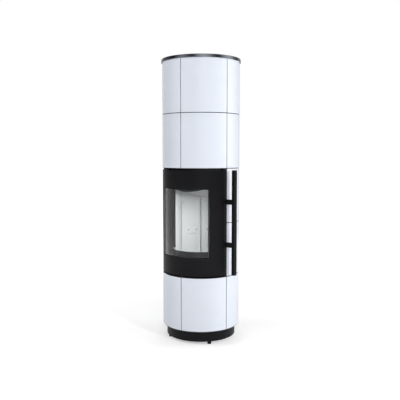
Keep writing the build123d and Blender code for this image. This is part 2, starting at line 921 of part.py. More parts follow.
def door_skin_sheet():
    """Curved outer sheet of the door with its window."""
    seam_bearing = strip_bearing - arc_angle(seam_width, door_radius)
    skin = sector(skin_inner, door_radius, -door_edge_bearing, seam_bearing, door_bottom, door_top)
    return skin - sector(skin_inner - overrun, door_radius + overrun, -window_half_angle, window_half_angle,
                         window_bottom, window_top)


def window_frame(inner, outer, grow_out, grow_in):
    """Curved frame around the window: from grow_in to grow_out millimetres outside its edges."""
    out_angle = window_half_angle + arc_angle(grow_out, door_radius)
    in_angle = window_half_angle + arc_angle(grow_in, door_radius)
    frame = sector(inner, outer, -out_angle, out_angle, window_bottom - grow_out, window_top + grow_out)
    return frame - sector(inner - overrun, outer + overrun, -in_angle, in_angle, window_bottom - grow_in,
                          window_top + grow_in)


def door_casing():
    """Welded pan behind the skin: back sheet, edges, window walls and the hinge blocks."""
    outer = skin_inner - seat_gap
    low, high = casing_bottom, casing_top
    left, right = casing_left_bearing, casing_right_bearing
    edge = arc_angle(casing_sheet, door_radius)
    casing = sector(casing_back, outer, left, right, low, high)
    casing -= sector(casing_back + casing_sheet, outer + overrun, left + edge, right - edge,
                     low + casing_sheet, high - casing_sheet)
    glass_inner = skin_inner - tape_thickness - glass_thickness - 2 * seat_gap
    wall_in = window_wall_margin
    casing += window_frame(casing_back, glass_inner, wall_in + casing_sheet, wall_in)
    opening = window_half_angle + arc_angle(wall_in, door_radius)
    casing -= sector(casing_back - overrun, outer + overrun, -opening, opening, window_bottom - wall_in,
                     window_top + wall_in)
    x, y = at(hinge_radius, hinge_bearing)
    for bottom in (low, high - hinge_block_height):
        top = bottom + hinge_block_height
        eye = rod(hinge_block_radius, x, y, bottom, top)
        arm = sector(hinge_radius - hinge_block_radius, outer, hinge_bearing, left + edge, bottom, top)
        reach = eye + arm
        reach &= rod(outer, 0, 0, bottom, top)
        casing += reach - rod(hinge_pin_radius + running_clearance, x, y, bottom, top)
    casing -= rod(hinge_pin_radius + running_clearance, x, y, low, high)
    for height in catch_heights:
        casing += catch_nose(height)
    return casing


def catch_nose(height):
    """Leaf on the casing's latch side whose nose goes in behind a catch roller."""
    low, high = height - nose_height / 2, height + nose_height / 2
    leaf_inner = nose_inner + nose_thickness
    root = casing_right_bearing - nose_root_angle
    leaf = sector(leaf_inner, leaf_inner + nose_thickness, root, nose_end_bearing, low, high)
    return leaf + sector(nose_inner, leaf_inner, nose_end_bearing - nose_angle, nose_end_bearing, low, high)


def strip_profile():
    """Upright strip at the latch side that carries the handle's brackets."""
    inner = skin_inner - door_skin
    strip = sector(inner, door_radius, strip_bearing, door_edge_bearing, door_bottom, door_top)
    behind_brackets = [height - bracket_height / 2 for height in bracket_heights]
    for low in (casing_bottom, casing_top - bracket_height, *behind_brackets):
        strip += sector(inner - strip_leaf, inner, casing_right_bearing, door_edge_bearing - door_edge_angle,
                        low, low + bracket_height)
    return strip


def door_glass():
    """Curved ceramic glass behind the skin."""
    outer = skin_inner - tape_thickness - seat_gap
    half = window_half_angle + arc_angle(glass_overlap, door_radius)
    return sector(outer - glass_thickness, outer, -half, half, window_bottom - glass_overlap,
                  window_top + glass_overlap)


def glass_tape():
    """Flat tape between the glass and the skin."""
    outer = skin_inner - seat_gap / 2
    return window_frame(outer - tape_thickness, outer, glass_overlap, tape_margin)


def door_seal():
    """Sealing rope on the back of the door, which meets the firebox around both openings."""
    inner, outer = firebox_radius + seal_gap, casing_back
    low, high, half = casing_bottom, seal_top, seal_half_angle
    turn = arc_angle(seal_width, firebox_radius)
    rope = sector(inner, outer, -half, half, low, high)
    return rope - sector(inner - overrun, outer + overrun, turn - half, half - turn, low + seal_width,
                         high - seal_width)


# Hinge, catches and handle


def hinge_bracket(top_hinge):
    """Plate on the deck or under the lintel with the pin that the door turns on."""
    x, y = at(hinge_radius, hinge_bearing)
    if top_hinge:
        plate_low, plate_high = lintel_top - shelf_thickness - hinge_plate_thickness, lintel_top - shelf_thickness
        pin_low, pin_high = casing_top - hinge_pin_length, plate_low
    else:
        plate_low, plate_high = deck_top, deck_top + hinge_plate_thickness
        pin_low, pin_high = plate_high, casing_bottom + hinge_pin_length
    span = arc_angle(hinge_plate_width, hinge_radius)
    start = hinge_bearing - hinge_plate_turn_angle
    plate = sector(post_outer + hinge_plate_inset, shelf_outer - hinge_plate_edge, start, start + span, plate_low,
                   plate_high)
    return plate + rod(hinge_pin_radius, x, y, pin_low, pin_high)


def door_catches():
    """Two brackets on the right front upright, each with the roller that holds the door's nose."""
    solids = []
    for height in catch_heights:
        x, y = at(post_outer + catch_roller_out, catch_bearing)
        low, high = height - catch_roller_height / 2, height + catch_roller_height / 2
        arm = sector(post_outer, tile_back - overrun, catch_bearing - catch_arm_angle, front_post_bearing, high,
                     high + catch_plate_thickness)
        fixing = sector(post_outer, post_outer + catch_plate_thickness, front_post_bearing - catch_fixing_angle,
                        front_post_bearing, low, high + catch_roller_height)
        solids.append(arm + fixing + rod(catch_roller_radius, x, y, low, high))
    return solids


def handle_bar():
    """Square upright bar of the handle, with one face towards the stove's axis."""
    bar = Box(handle_width, handle_width, handle_top - handle_bottom)
    bar = chamfer(bar.edges(), handle_edge)
    x, y = at(handle_radius, handle_bearing)
    return Pos(x, y, (handle_bottom + handle_top) / 2) * Rot(0, 0, handle_bearing) * bar


def handle_brackets():
    """Two flat brackets from the strip to the inner face of the bar."""
    root_x, root_y = at(door_radius, bracket_root_bearing)
    x, y = at(handle_radius, handle_bearing)
    reach = hypot(x - root_x, y - root_y)
    turn = degrees(atan2(y - root_y, x - root_x))
    solids = []
    for height in bracket_heights:
        low, high = height - bracket_height / 2, height + bracket_height / 2
        arm = block(-bracket_root_depth, reach, -bracket_thickness / 2, bracket_thickness / 2, low, high)
        arm = Pos(root_x, root_y, 0) * Rot(0, 0, turn) * arm
        solids.append(arm - rod(door_radius, 0, 0, low - overrun, high + overrun) - handle_bar())
    return solids


def main():
    os.makedirs("parts", exist_ok=True)
    save_tiles()
    save_lining()
    for index, (x, y) in enumerate(foot_points()):
        save(f"foot_{index + 1}", foot(x, y))
    save("heat_store", *[store_block(index) for index in range(store_count)])
    save("plinth_skirt", plinth_skirt())
    save("base_plate", base_plate())
    storeys = ((base_top, deck_top), (deck_top, lintel_top), (lintel_top, lid_bottom))
    save("uprights", *[post for low, high in storeys for post in posts(low, high - shelf_thickness)])
    save("deck_plate", deck_plate())
    save("shelf_ring_middle", middle_shelf())
    save("lintel_ring", lintel_ring())
    save("shelf_ring_upper", upper_shelf())
    save("top_ring", top_ring())
    save("top_plate", top_plate())
    save("rear_panel", rear_panel())
    save("firebox_body", firebox_body())
    save("ash_floor", ash_floor())
    save("hearth_plate", hearth_plate())
    save("hearth_stone", hearth_stone())
    save("grate", grate())
    save("ash_pan", ash_pan())
    save("baffle_lower", baffle_lower())
    save("baffle_upper", baffle_upper())
    save("air_deflector", air_deflector())
    save("sill_plate", sill_plate())
    save("air_duct", air_duct())
    save("air_slide", air_slide())
    save("flue_pipe", flue_pipe())
    save("flue_socket", flue_socket())
    save("door_skin", door_skin_sheet())
    save("door_casing", door_casing())
    save("door_strip", strip_profile())
    save("door_glass", door_glass())
    save("glass_tape", glass_tape())
    save("door_seal", door_seal())
    save("hinge_brackets", hinge_bracket(False), hinge_bracket(True))
    save("door_catches", *door_catches())
    save("handle_bar", handle_bar())
    save("handle_brackets", *handle_brackets())


main()
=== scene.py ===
"""Looks of a round tiled wood stove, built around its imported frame.

Lengths are metres and angles radians. A bearing is an angle in plan, counted from the front (-Y)
towards the right (+X), as in the part's source. The studio's bearings are in degrees.
"""

import json
import math
from typing import NamedTuple

import bpy
import numpy as np
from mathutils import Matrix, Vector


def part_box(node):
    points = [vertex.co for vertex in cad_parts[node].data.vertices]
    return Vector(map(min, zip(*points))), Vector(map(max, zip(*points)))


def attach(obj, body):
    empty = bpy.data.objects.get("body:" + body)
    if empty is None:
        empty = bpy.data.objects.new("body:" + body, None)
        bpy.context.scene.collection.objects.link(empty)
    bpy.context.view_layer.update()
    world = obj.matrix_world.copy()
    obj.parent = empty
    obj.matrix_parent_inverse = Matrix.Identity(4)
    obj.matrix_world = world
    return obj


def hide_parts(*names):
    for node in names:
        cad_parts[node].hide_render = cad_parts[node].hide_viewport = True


bl_info = {
    "name": "Tiled Stove",
    "version": (1, 0, 0),
    "blender": (4, 5, 0),
    "location": "3D View > Sidebar > Stove",
    "description": "Surfaces, finishes and studio of a round tiled stove with a curved glazed door",
    "category": "Object",
}

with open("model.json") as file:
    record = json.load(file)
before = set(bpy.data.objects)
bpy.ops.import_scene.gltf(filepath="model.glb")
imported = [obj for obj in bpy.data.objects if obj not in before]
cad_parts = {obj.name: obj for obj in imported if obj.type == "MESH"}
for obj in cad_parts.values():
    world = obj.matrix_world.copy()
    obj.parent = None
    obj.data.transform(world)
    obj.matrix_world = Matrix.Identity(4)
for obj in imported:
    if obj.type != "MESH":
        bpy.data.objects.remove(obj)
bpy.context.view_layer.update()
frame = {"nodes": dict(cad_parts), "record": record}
nodes_of_body = frame["record"]["behaviour"]["bodies"]
body_of_node = {node: body for body, nodes in nodes_of_body.items() for node in nodes}
slot_of_node = {part["node"]: part["material_slot"] for part in frame["record"]["subparts"]}

MM = 0.001

# Fineness of the meshes
SHARP_ANGLE = math.radians(35.0)
ARC_STEP = math.radians(1.5)
TILE_ROWS = 12
FOOT_SIDES = 48
STEPS_PER_THREAD = 4
BOARD_STEP = 3 * MM
HOLE_STEP = 1 * MM
# Decimals of a metre at which two breaks of a grid, or two lines of a board, count as one
BREAK_DECIMALS = 7
LINE_DECIMALS = 5
# Share of a step by which a run may be longer without another line
SPARE_STEP = 1e-6


def linear(code):
    """Linear RGB of an sRGB hex colour such as "#e8ecf2"."""
    share = np.array([int(code[i : i + 2], 16) for i in (1, 3, 5)]) / 255
    return tuple(np.where(share <= 0.04045, share / 12.92, ((share + 0.055) / 1.055) ** 2.4))


# Sizes and colours that a user may change


def length(name, description, millimetres):
    """A length property."""
    return bpy.props.FloatProperty(name=name, description=description, default=millimetres * MM, min=0.0,
                                   unit="LENGTH")


def colour(name, description, code):
    """A colour property."""
    return bpy.props.FloatVectorProperty(name=name, description=description, default=linear(code), size=3,
                                         min=0.0, max=1.0, subtype="COLOR")


class StoveShapes(bpy.types.PropertyGroup):
    """Sizes of the finish, which the frame doesn't hold."""

    tile_edge: length("Tile edge", "Radius of a tile's glazed edge", 2.0)
    tile_face: length("Tile face", "Thickness of a tile in front of its hollows", 14.0)
    tile_rim: length("Tile rim", "Width of the rim and the rib behind a tile", 14.0)
    tile_draft: length("Tile draft", "Width of the slope round a hollow, which frees the mould", 3.0)
    sheet_edge: length("Sheet edge", "Radius of a cut sheet's edge", 0.6)
    lid_edge: length("Lid edge", "Radius of the lid's bent edge", 2.0)
    lid_sheet: length("Lid sheet", "Thickness of the lid", 4.0)
    lid_rim: length("Lid rim", "Thickness of the lid's rim", 3.0)
    plinth_sheet: length("Plinth sheet", "Thickness of the plinth", 2.0)
    foot_height: length("Foot height", "Height of a foot's pad", 20.0)
    foot_edge: length("Foot edge", "Radius of a foot's round edges", 1.5)
    stud_radius: length("Stud radius", "Outer radius of a foot's thread", 6.0)
    thread_pitch: length("Thread pitch", "Rise of a foot's thread in one turn", 1.75)
    thread_depth: length("Thread depth", "Depth of a foot's thread", 0.7)
    field_margin: length("Field margin", "Border round a lining board's sunk field", 25.0)
    field_depth: length("Field depth", "Depth of a lining board's sunk field", 5.0)
    field_corner: length("Field corner", "Corner radius of the sunk field", 10.0)
    field_slope: length("Field slope", "Width of the sunk field's soft edge", 7.0)
    boss_height: length("Boss height", "Height of the boss that the air holes lie in", 48.0)
    boss_rise: length("Boss rise", "Centre of the boss above the hearth", 166.0)
    boss_reach: length("Boss reach", "End of a slanting board's boss, from the back corner", 122.0)
    near_hole: length("Near hole", "First hole of a slanting board, from the back corner", 36.0)
    far_hole: length("Far hole", "Second hole of a slanting board, from the back corner", 98.0)
    back_hole: length("Back hole", "Holes of the back board, from its middle", 15.0)
    hole_radius: length("Hole radius", "Radius of an air hole", 4.0)
    hole_edge: length("Hole edge", "Width of an air hole's soft edge", 1.0)
    hole_depth: length("Hole depth", "Depth of an air hole", 14.0)
    board_gap: length("Board gap", "Gap between two lining boards", 3.0)
    board_edge: length("Board edge", "Radius of a lining board's upright edges", 3.0)


class StoveColours(bpy.types.PropertyGroup):
    """Colours of the finishes."""

    glaze: colour("Glaze", "Cool white glaze of the tiles", "#dadfe9")
    body_paint: colour("Stove paint", "Heat-proof satin paint of the door and the plinth", "#101013")
    lid_steel: colour("Lid steel", "Blackened steel of the top plate", "#9b9fa6")
    handle_paint: colour("Handle paint", "Powder coat of the handle", "#0d0d0f")
    # The clay's dark grey is partly painted shade, which darkens the joints between the tiles.
    clay: colour("Clay", "Unglazed stoneware behind the tiles' faces", "#686b72")
    steel: colour("Steel", "Rolled steel of the inner parts", "#5f6063")
    zinc: colour("Black zinc", "Plating of the feet", "#17181a")
    iron: colour("Cast iron", "Cast grate", "#2d2d2f")
    lining: colour("Lining", "Pressed vermiculite boards", "#dcdede")
    stone: colour("Heat store", "Cast storage blocks", "#45433f")
    # The air holes' near-black is painted shade, standing for the darkness deep in their bores.
    shade: colour("Air holes", "Sooty bores of the air holes", "#1c1c1c")
    rope: colour("Rope", "Glass-fibre sealing rope", "#3a3a3a")
    # The tape's pale grey is partly painted highlight: it stands for the glint along the window's edge.
    tape: colour("Tape", "Glass-fibre tape under the glass", "#a2a29e")
    glass: colour("Glass", "Ceramic glass", "#fcfdfd")
    floor: colour("Floor", "Studio floor", "#d2d2d2")


# Reading the frame


def node_points(node):
    """Vertices of a CAD node as an (n, 3) array."""
    mesh = frame["nodes"][node].data
    points = np.empty(3 * len(mesh.vertices), np.float32)
    mesh.vertices.foreach_get("co", points)
    return points.reshape(-1, 3).astype(float)


def round_extent(node):
    """Least and greatest radius, bearing and height of a CAD node."""
    x, y, z = node_points(node).T
    radius = np.hypot(x, y)
    middle = math.atan2(x.mean(), -y.mean())
    bearing = middle + (np.arctan2(x, -y) - middle + math.pi) % (2 * math.pi) - math.pi
    return radius.min(), radius.max(), bearing.min(), bearing.max(), z.min(), z.max()


def corners(node):
    """Lowest and highest corner of a CAD node."""
    low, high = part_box(node)
    return np.array(low), np.array(high)


# Grids and meshes


def grid_lines(breaks, step):
    """Rising values that hold every break, evenly spaced between breaks and at most a step apart."""
    breaks = np.unique(np.round(breaks, BREAK_DECIMALS))
    runs = [
        np.linspace(a, b, max(1, math.ceil((b - a) / step - SPARE_STEP)), endpoint=False)
        for a, b in zip(breaks[:-1], breaks[1:])
    ]
    return np.concatenate([*runs, breaks[-1:]])


def edge_lines(edge, size, steps=6):
    """Distances from a rounded edge at equal turns of its quarter circle, at both ends of a size."""
    near = edge * (1 - np.cos(np.linspace(0, math.pi / 2, steps)))
    return np.concatenate([near, size - near])


def round_point(radius, bearing, height):
    """Points at a radius, a bearing and a height: (r sin b, -r cos b, z)."""
    radius, bearing, height = np.broadcast_arrays(radius, bearing, height)
    return np.stack([radius * np.sin(bearing), -radius * np.cos(bearing), height], -1)


def smooth_step(share):
    """0 below 0, 1 above 1, and 3t^2 - 2t^3 between them."""
    t = np.clip(share, 0, 1)
    return t * t * (3 - 2 * t)


def quads_of(grid):
    """The values at the four corners of each cell of a grid, such as the vertex numbers of its face."""
    return np.stack([grid[:-1, :-1], grid[1:, :-1], grid[1:, 1:], grid[:-1, 1:]], -1)


def new_piece(name, points, faces):
    """Smooth-shaded object from closed faces, turned outwards by the sign of their volume."""
    used = np.unique(np.concatenate([np.ravel(face) for face in faces]))
    number = np.zeros(len(points), int)
    number[used] = np.arange(len(used))
    points = points[used]
    faces = [tuple(number[np.asarray(face)]) for face in faces]
    triangles = np.array([(f[0], f[i], f[i + 1]) for f in faces for i in range(1, len(f) - 1)])
    a, b, c = (points[triangles[:, i]] for i in range(3))
    if np.einsum("ij,ij->", a, np.cross(b, c)) < 0:
        faces = [face[::-1] for face in faces]
    mesh = bpy.data.meshes.new(name)
    mesh.from_pydata(points.tolist(), [], faces)
    mesh.shade_smooth()
    mesh.set_sharp_from_angle(angle=SHARP_ANGLE)
    piece = bpy.data.objects.new(name, mesh)
    bpy.context.scene.collection.objects.link(piece)
    return piece


def slab_piece(name, front, back, keep=None):
    """Sheet between two grids of points, open at the cells that keep leaves out.

    Each kept cell gives a face on both grids, and each of its sides with no kept neighbour a wall.
    """
    rows, columns = front.shape[:2]
    count = rows * columns
    cells = quads_of(np.arange(count).reshape(rows, columns))
    keep = np.ones(cells.shape[:2], bool) if keep is None else keep
    around = np.pad(keep, 1)
    faces = [cells[keep], cells[keep][:, ::-1] + count]
    for side, (down, right) in enumerate(((0, -1), (1, 0), (0, 1), (-1, 0))):
        neighbour = around[1 + down : rows + down, 1 + right : columns + right]
        edge = cells[keep & ~neighbour]
        a, b = edge[:, side], edge[:, (side + 1) % 4]
        faces.append(np.stack([b, a, a + count, b + count], -1))
    points = np.concatenate([front.reshape(-1, 3), back.reshape(-1, 3)])
    return new_piece(name, points, np.concatenate(faces).tolist())


def relief_piece(name, front, back):
    """Board with a grid of points in front and one flat face behind, whose border follows the grid's."""
    rows, columns = front.shape[:2]
    count = rows * columns
    index = np.arange(count).reshape(rows, columns)
    border = np.concatenate([index[0, :-1], index[:-1, -1], index[-1, :0:-1], index[:0:-1, 0]])
    behind = count + np.arange(len(border))
    walls = np.stack([border, np.roll(border, -1), np.roll(behind, -1), behind], -1)
    points = np.concatenate([front.reshape(-1, 3), back.reshape(-1, 3)[border]])
    faces = [*quads_of(index).reshape(-1, 4).tolist(), *walls.tolist(), behind.tolist()]
    return new_piece(name, points, faces)


def tube_piece(name, rings, closed=False):
    """Surface through closed rings of points, joined end to end or capped."""
    count, around = rings.shape[:2]
    index = np.arange(count * around).reshape(count, around)
    index = np.concatenate([index, index[:, :1]], 1)
    if closed:
        index = np.concatenate([index, index[:1]])
    faces = quads_of(index).reshape(-1, 4).tolist()
    if not closed:
        faces += [index[0, :-1].tolist(), index[-1, -2::-1].tolist()]
    return new_piece(name, rings.reshape(-1, 3), faces)


def rounded_outline(points, radius, steps=5):
    """Closed outline whose corners are arcs: each lies on the circle that touches both of its sides."""
    p = np.array(points, float)
    radius = np.broadcast_to(radius, len(p))[:, None]
    before, after = np.roll(p, 1, 0) - p, np.roll(p, -1, 0) - p
    before /= np.linalg.norm(before, axis=1)[:, None]
    after /= np.linalg.norm(after, axis=1)[:, None]
    half = np.arccos(np.clip((before * after).sum(1), -1, 1))[:, None] / 2
    middle = before + after
    centre = p + middle / np.linalg.norm(middle, axis=1)[:, None] * radius / np.sin(half)
    first = p + before * radius / np.tan(half) - centre
    last = p + after * radius / np.tan(half) - centre
    turn = math.pi - 2 * half[:, None]
    t = np.linspace(0, 1, steps)[None, :, None]
    arc = (np.sin((1 - t) * turn) * first[:, None] + np.sin(t * turn) * last[:, None]) / np.sin(turn)
    return (centre[:, None] + arc).reshape(-1, 2)


def turned_piece(name, outline):
    """Full turn of a closed outline of (radius, height) points about the upright axis."""
    bearing = np.linspace(0, 2 * math.pi, round(2 * math.pi / ARC_STEP), endpoint=False)
    rings = round_point(outline[None, :, 0], bearing[:, None], outline[None, :, 1])
    return tube_piece(name, rings, closed=True)


def bevelled(piece, width):
    """Piece with its sharp edges rounded by a modifier."""
    bevel = piece.modifiers.new("Edges", "BEVEL")
    bevel.width = width
    bevel.segments = 2
    bevel.limit_method = "ANGLE"
    bevel.angle_limit = SHARP_ANGLE
    return piece


def stand_for(piece, node, finish):
    """Gives a piece its finish and the body of the CAD node that it replaces, and hides that node."""
    piece.data.materials.append(finish)
    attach(piece, body_of_node[node])
    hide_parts(node)


def second_finish(piece, finish, chosen):
    """Gives the chosen faces of a piece a finish beside its first one."""
    piece.data.materials.append(finish)
    piece.data.polygons.foreach_set("material_index", chosen.astype(np.int32))


def dress(node, finish):
    """Gives a CAD node its finish."""
    mesh = frame["nodes"][node].data
    mesh.materials.clear()
    mesh.materials.append(finish)


# Materials

# Shares between which noise mostly lies
NOISE_LOW, NOISE_HIGH = 0.25, 0.75


def add(tree, kind, sockets=None, **settings):
    """Adds one node, with its settings and its sockets' values or links."""
    node = tree.nodes.new(kind)
    for name, value in settings.items():
        setattr(node, name, value)
    for name, value in (sockets or {}).items():
        if isinstance(value, bpy.types.NodeSocket):
            tree.links.new(value, node.inputs[name])
        else:
            node.inputs[name].default_value = value
    return node


def material(name):
    """Empty node material with its output."""
    made = bpy.data.materials.new(name)
    made.use_nodes = True
    made.node_tree.nodes.clear()
    return made, made.node_tree, made.node_tree.nodes.new("ShaderNodeOutputMaterial")


def add_surface(tree, shader, out):
    """Joins a shader to the material's output."""
    tree.links.new(shader.outputs[0], out.inputs["Surface"])


def grain(tree, size, detail=2.0, roughness=0.5):
    """Noise on the object's own coordinates whose spots are about a size across, from 0 to 1."""
    place = add(tree, "ShaderNodeTexCoord")
    noise = add(tree, "ShaderNodeTexNoise", {"Vector": place.outputs["Object"], "Scale": 1 / size,
                                             "Detail": detail, "Roughness": roughness})
    return noise.outputs["Fac"]


def spread(tree, share, low, high):
    """A value that runs from low to high over the middle half of a share, where noise mostly lies."""
    return add(tree, "ShaderNodeMapRange", {"Value": share, "From Min": NOISE_LOW, "From Max": NOISE_HIGH,
                                            "To Min": low, "To Max": high}).outputs["Result"]


def shades(tree, share, code, darker):
    """The colour where the share is 1, and a darker one, channel by channel, where it is 0."""
    mix = add(tree, "ShaderNodeMix", {"Factor": share}, data_type="RGBA")
    dark, full = (socket for socket in mix.inputs if socket.type == "RGBA")
    dark.default_value = (*[channel * darker for channel in code], 1)
    full.default_value = (*code, 1)
    return next(socket for socket in mix.outputs if socket.type == "RGBA")


def bump(tree, height, depth):
    """Normal of a relief that is a depth deep."""
    return add(tree, "ShaderNodeBump", {"Height": height, "Distance": depth}).outputs["Normal"]


def glazed_stoneware(code):
    """Slip-cast stoneware under a fired glossy glaze: sharp reflections on a very slightly uneven skin."""
    made, tree, out = material("glazed_stoneware")
    uneven = grain(tree, 30 * MM, detail=1.0)
    shader = add(tree, "ShaderNodeBsdfPrincipled", {
        "Base Color": shades(tree, spread(tree, grain(tree, 60 * MM), 0.0, 1.0), code, darker=0.985),
        "Roughness": 0.12, "IOR": 1.52, "Normal": bump(tree, uneven, 0.05 * MM)})
    add_surface(tree, shader, out)
    return made


def bare_stoneware(code):
    """Unglazed grogged stoneware of the tiles' sides and backs: grey, matt and sandy, and dark in the joints,
    where its dark grey is partly painted shade between the tiles.
    """
    made, tree, out = material("bare_stoneware")
    grog = grain(tree, 1.5 * MM, detail=3.0)
    shader = add(tree, "ShaderNodeBsdfPrincipled", {
        "Base Color": shades(tree, grog, code, darker=0.8), "Roughness": 0.9,
        "Normal": bump(tree, grog, 0.15 * MM)})
    add_surface(tree, shader, out)
    return made


def satin_stove_paint(code):
    """Sprayed heat-proof silicone paint: nearly matt black with a fine mist that softens reflections."""
    made, tree, out = material("satin_stove_paint")
    mist = grain(tree, 1.2 * MM, detail=1.0)
    shader = add(tree, "ShaderNodeBsdfPrincipled", {
        "Base Color": shades(tree, mist, code, darker=0.9), "Roughness": spread(tree, mist, 0.36, 0.44),
        "IOR": 1.5, "Specular IOR Level": 0.17, "Normal": bump(tree, mist, 0.01 * MM)})
    add_surface(tree, shader, out)
    return made


def blackened_steel(code):
    """Blackened steel sheet under clear lacquer: a bluish metal that shows the studio in soft bands."""
    made, tree, out = material("blackened_steel")
    wave = grain(tree, 40 * MM, detail=1.0)
    shader = add(tree, "ShaderNodeBsdfPrincipled", {
        "Base Color": shades(tree, wave, code, darker=0.92), "Metallic": 1.0, "Roughness": 0.22,
        "Normal": bump(tree, wave, 0.02 * MM)})
    add_surface(tree, shader, out)
    return made


def handle_powder_coat(code):
    """Powder-coated square steel bar: even satin black with a fine orange-peel texture."""
    made, tree, out = material("handle_powder_coat")
    peel = grain(tree, 1.5 * MM, detail=1.0)
    shader = add(tree, "ShaderNodeBsdfPrincipled", {
        "Base Color": shades(tree, peel, code, darker=0.92), "Roughness": 0.38, "IOR": 1.5,
        "Specular IOR Level": 0.2, "Normal": bump(tree, peel, 0.02 * MM)})
    add_surface(tree, shader, out)
    return made


def rolled_steel(code):
    """Cold-rolled sheet steel: grey metal with faint streaks along the rolling direction."""
    made, tree, out = material("rolled_steel")
    place = add(tree, "ShaderNodeTexCoord")
    stretch = add(tree, "ShaderNodeMapping", {"Vector": place.outputs["Object"], "Scale": (1.0, 1.0, 0.04)})
    streaks = add(tree, "ShaderNodeTexNoise", {"Vector": stretch.outputs["Vector"], "Scale": 1 / (2 * MM),
                                               "Detail": 3.0}).outputs["Fac"]
    shader = add(tree, "ShaderNodeBsdfPrincipled", {
        "Base Color": shades(tree, streaks, code, darker=0.85), "Metallic": 1.0,
        "Roughness": spread(tree, streaks, 0.32, 0.48)})
    add_surface(tree, shader, out)
    return made


def black_zinc(code):
    """Black zinc plating: a dark dull metal."""
    made, tree, out = material("black_zinc_plated_steel")
    cloud = grain(tree, 4 * MM)
    shader = add(tree, "ShaderNodeBsdfPrincipled", {
        "Base Color": shades(tree, cloud, code, darker=0.8), "Metallic": 0.6, "Roughness": 0.45})
    add_surface(tree, shader, out)
    return made


def grey_cast_iron(code):
    """Sand-cast grey iron: dark metal with the pitted skin that the sand leaves."""
    made, tree, out = material("grey_cast_iron")
    sand = grain(tree, 1.6 * MM, detail=4.0, roughness=0.7)
    shader = add(tree, "ShaderNodeBsdfPrincipled", {
        "Base Color": shades(tree, sand, code, darker=0.6), "Metallic": 0.7, "Roughness": 0.62,
        "Normal": bump(tree, sand, 0.3 * MM)})
    add_surface(tree, shader, out)
    return made


def pressed_vermiculite(code):
    """Pressed vermiculite board: pale and matt, with flakes a few millimetres wide that barely differ."""
    made, tree, out = material("pressed_vermiculite")
    place = add(tree, "ShaderNodeTexCoord")
    flakes = add(tree, "ShaderNodeTexVoronoi", {"Vector": place.outputs["Object"], "Scale": 1 / (2.5 * MM)})
    tone = add(tree, "ShaderNodeSeparateColor", {"Color": flakes.outputs["Color"]}).outputs["Red"]
    shader = add(tree, "ShaderNodeBsdfPrincipled", {
        "Base Color": shades(tree, tone, code, darker=0.93), "Roughness": 0.85, "IOR": 1.5,
        "Specular IOR Level": 0.3, "Normal": bump(tree, grain(tree, 1.5 * MM), 0.08 * MM)})
    add_surface(tree, shader, out)
    return made


def painted_shade_bore(code):
    """Painted shade in the lining's air holes: a flat near-black that stands for the darkness deep in each
    bore, so that each hole reads as a dark dot.
    """
    made, tree, out = material("painted_shade_bore")
    bore_shade = grain(tree, 2 * MM)
    shader = add(tree, "ShaderNodeBsdfPrincipled", {
        "Base Color": shades(tree, bore_shade, code, darker=0.7), "Roughness": 0.95, "Specular IOR Level": 0.2})
    add_surface(tree, shader, out)
    return made


def cast_storage_stone(code):
    """Cast magnesite storage block: grey-brown, matt and sandy."""
    made, tree, out = material("cast_storage_stone")
    sand = grain(tree, 3 * MM, detail=5.0, roughness=0.65)
    shader = add(tree, "ShaderNodeBsdfPrincipled", {
        "Base Color": shades(tree, sand, code, darker=0.75), "Roughness": 0.9,
        "Normal": bump(tree, sand, 0.3 * MM)})
    add_surface(tree, shader, out)
    return made


def ceramic_glass(code):
    """Clear glass ceramic with the faintest cool tint. Rays from lamps pass straight through it.

    The real IOR is about 1.5. It is set lower, because at 1.5 the window shines brighter than the photo's.
    """
    made, tree, out = material("clear_glass_ceramic")
    pane = add(tree, "ShaderNodeBsdfPrincipled", {
        "Base Color": (*code, 1), "Roughness": 0.02, "IOR": 1.3, "Transmission Weight": 1.0})
    clear = add(tree, "ShaderNodeBsdfTransparent", {"Color": (*code, 1)})
    path = add(tree, "ShaderNodeLightPath")
    mix = add(tree, "ShaderNodeMixShader", {0: path.outputs["Is Shadow Ray"], 1: pane.outputs[0],
                                            2: clear.outputs[0]})
    add_surface(tree, mix, out)
    return made


def knitted_glass_fibre(name, code):
    """Knitted glass fibre, dull, with stitches a few millimetres long: dark in the rope, and pale in the
    tape, whose paleness is partly a painted highlight along the window's edge.
    """
    made, tree, out = material(name)
    place = add(tree, "ShaderNodeTexCoord")
    stitches = add(tree, "ShaderNodeTexVoronoi", {"Vector": place.outputs["Object"], "Scale": 1 / (3 * MM)})
    height = stitches.outputs["Distance"]
    shader = add(tree, "ShaderNodeBsdfPrincipled", {
        "Base Color": shades(tree, height, code, darker=0.6), "Roughness": 0.95,
        "Normal": bump(tree, height, 0.8 * MM)})
    add_surface(tree, shader, out)
    return made


# Tiles


def tile_grids(extent, shapes):
    """Front and back of a hollow-backed tile.

    Front: the cylinder, less edge * (1 - sqrt(1 - u^2 - v^2)), where u and v run from 1 at the tile's
    edge to 0 at the end of its rounding. Back: the inner cylinder, and the back of the face in the
    two hollows, with a slope of one draft between them. Widths are measured along the front.
    """
    inner, outer, start, end, low, high = extent
    edge, draft = shapes.tile_edge, shapes.tile_draft
    width, height = outer * (end - start), high - low
    rim = shapes.tile_rim * outer / inner
    hollow = np.array([rim, (width - shapes.tile_rim) / 2])
    sides = np.concatenate([hollow, hollow + [draft, -draft]])
    ends = shapes.tile_rim + np.array([0, draft])
    s = grid_lines([*edge_lines(edge, width), *sides, *(width - sides)], outer * ARC_STEP)[:, None]
    z = grid_lines([*edge_lines(edge, height), *ends, *(height - ends)], height / TILE_ROWS)[None, :]
    near, level = np.minimum(s, width - s), np.minimum(z, height - z)
    u = np.clip(1 - near / edge, 0, 1)
    v = np.clip(1 - level / edge, 0, 1)
    drop = edge * (1 - np.sqrt(np.clip(1 - u**2 - v**2, 0, 1)))
    inside = np.minimum(np.minimum(near - hollow[0], hollow[1] - near), level - ends[0])
    sunk = (outer - shapes.tile_face - inner) * np.clip(inside / draft, 0, 1)
    bearing = start + s / outer
    return round_point(outer - drop, bearing, low + z), round_point(inner + sunk, bearing, low + z)


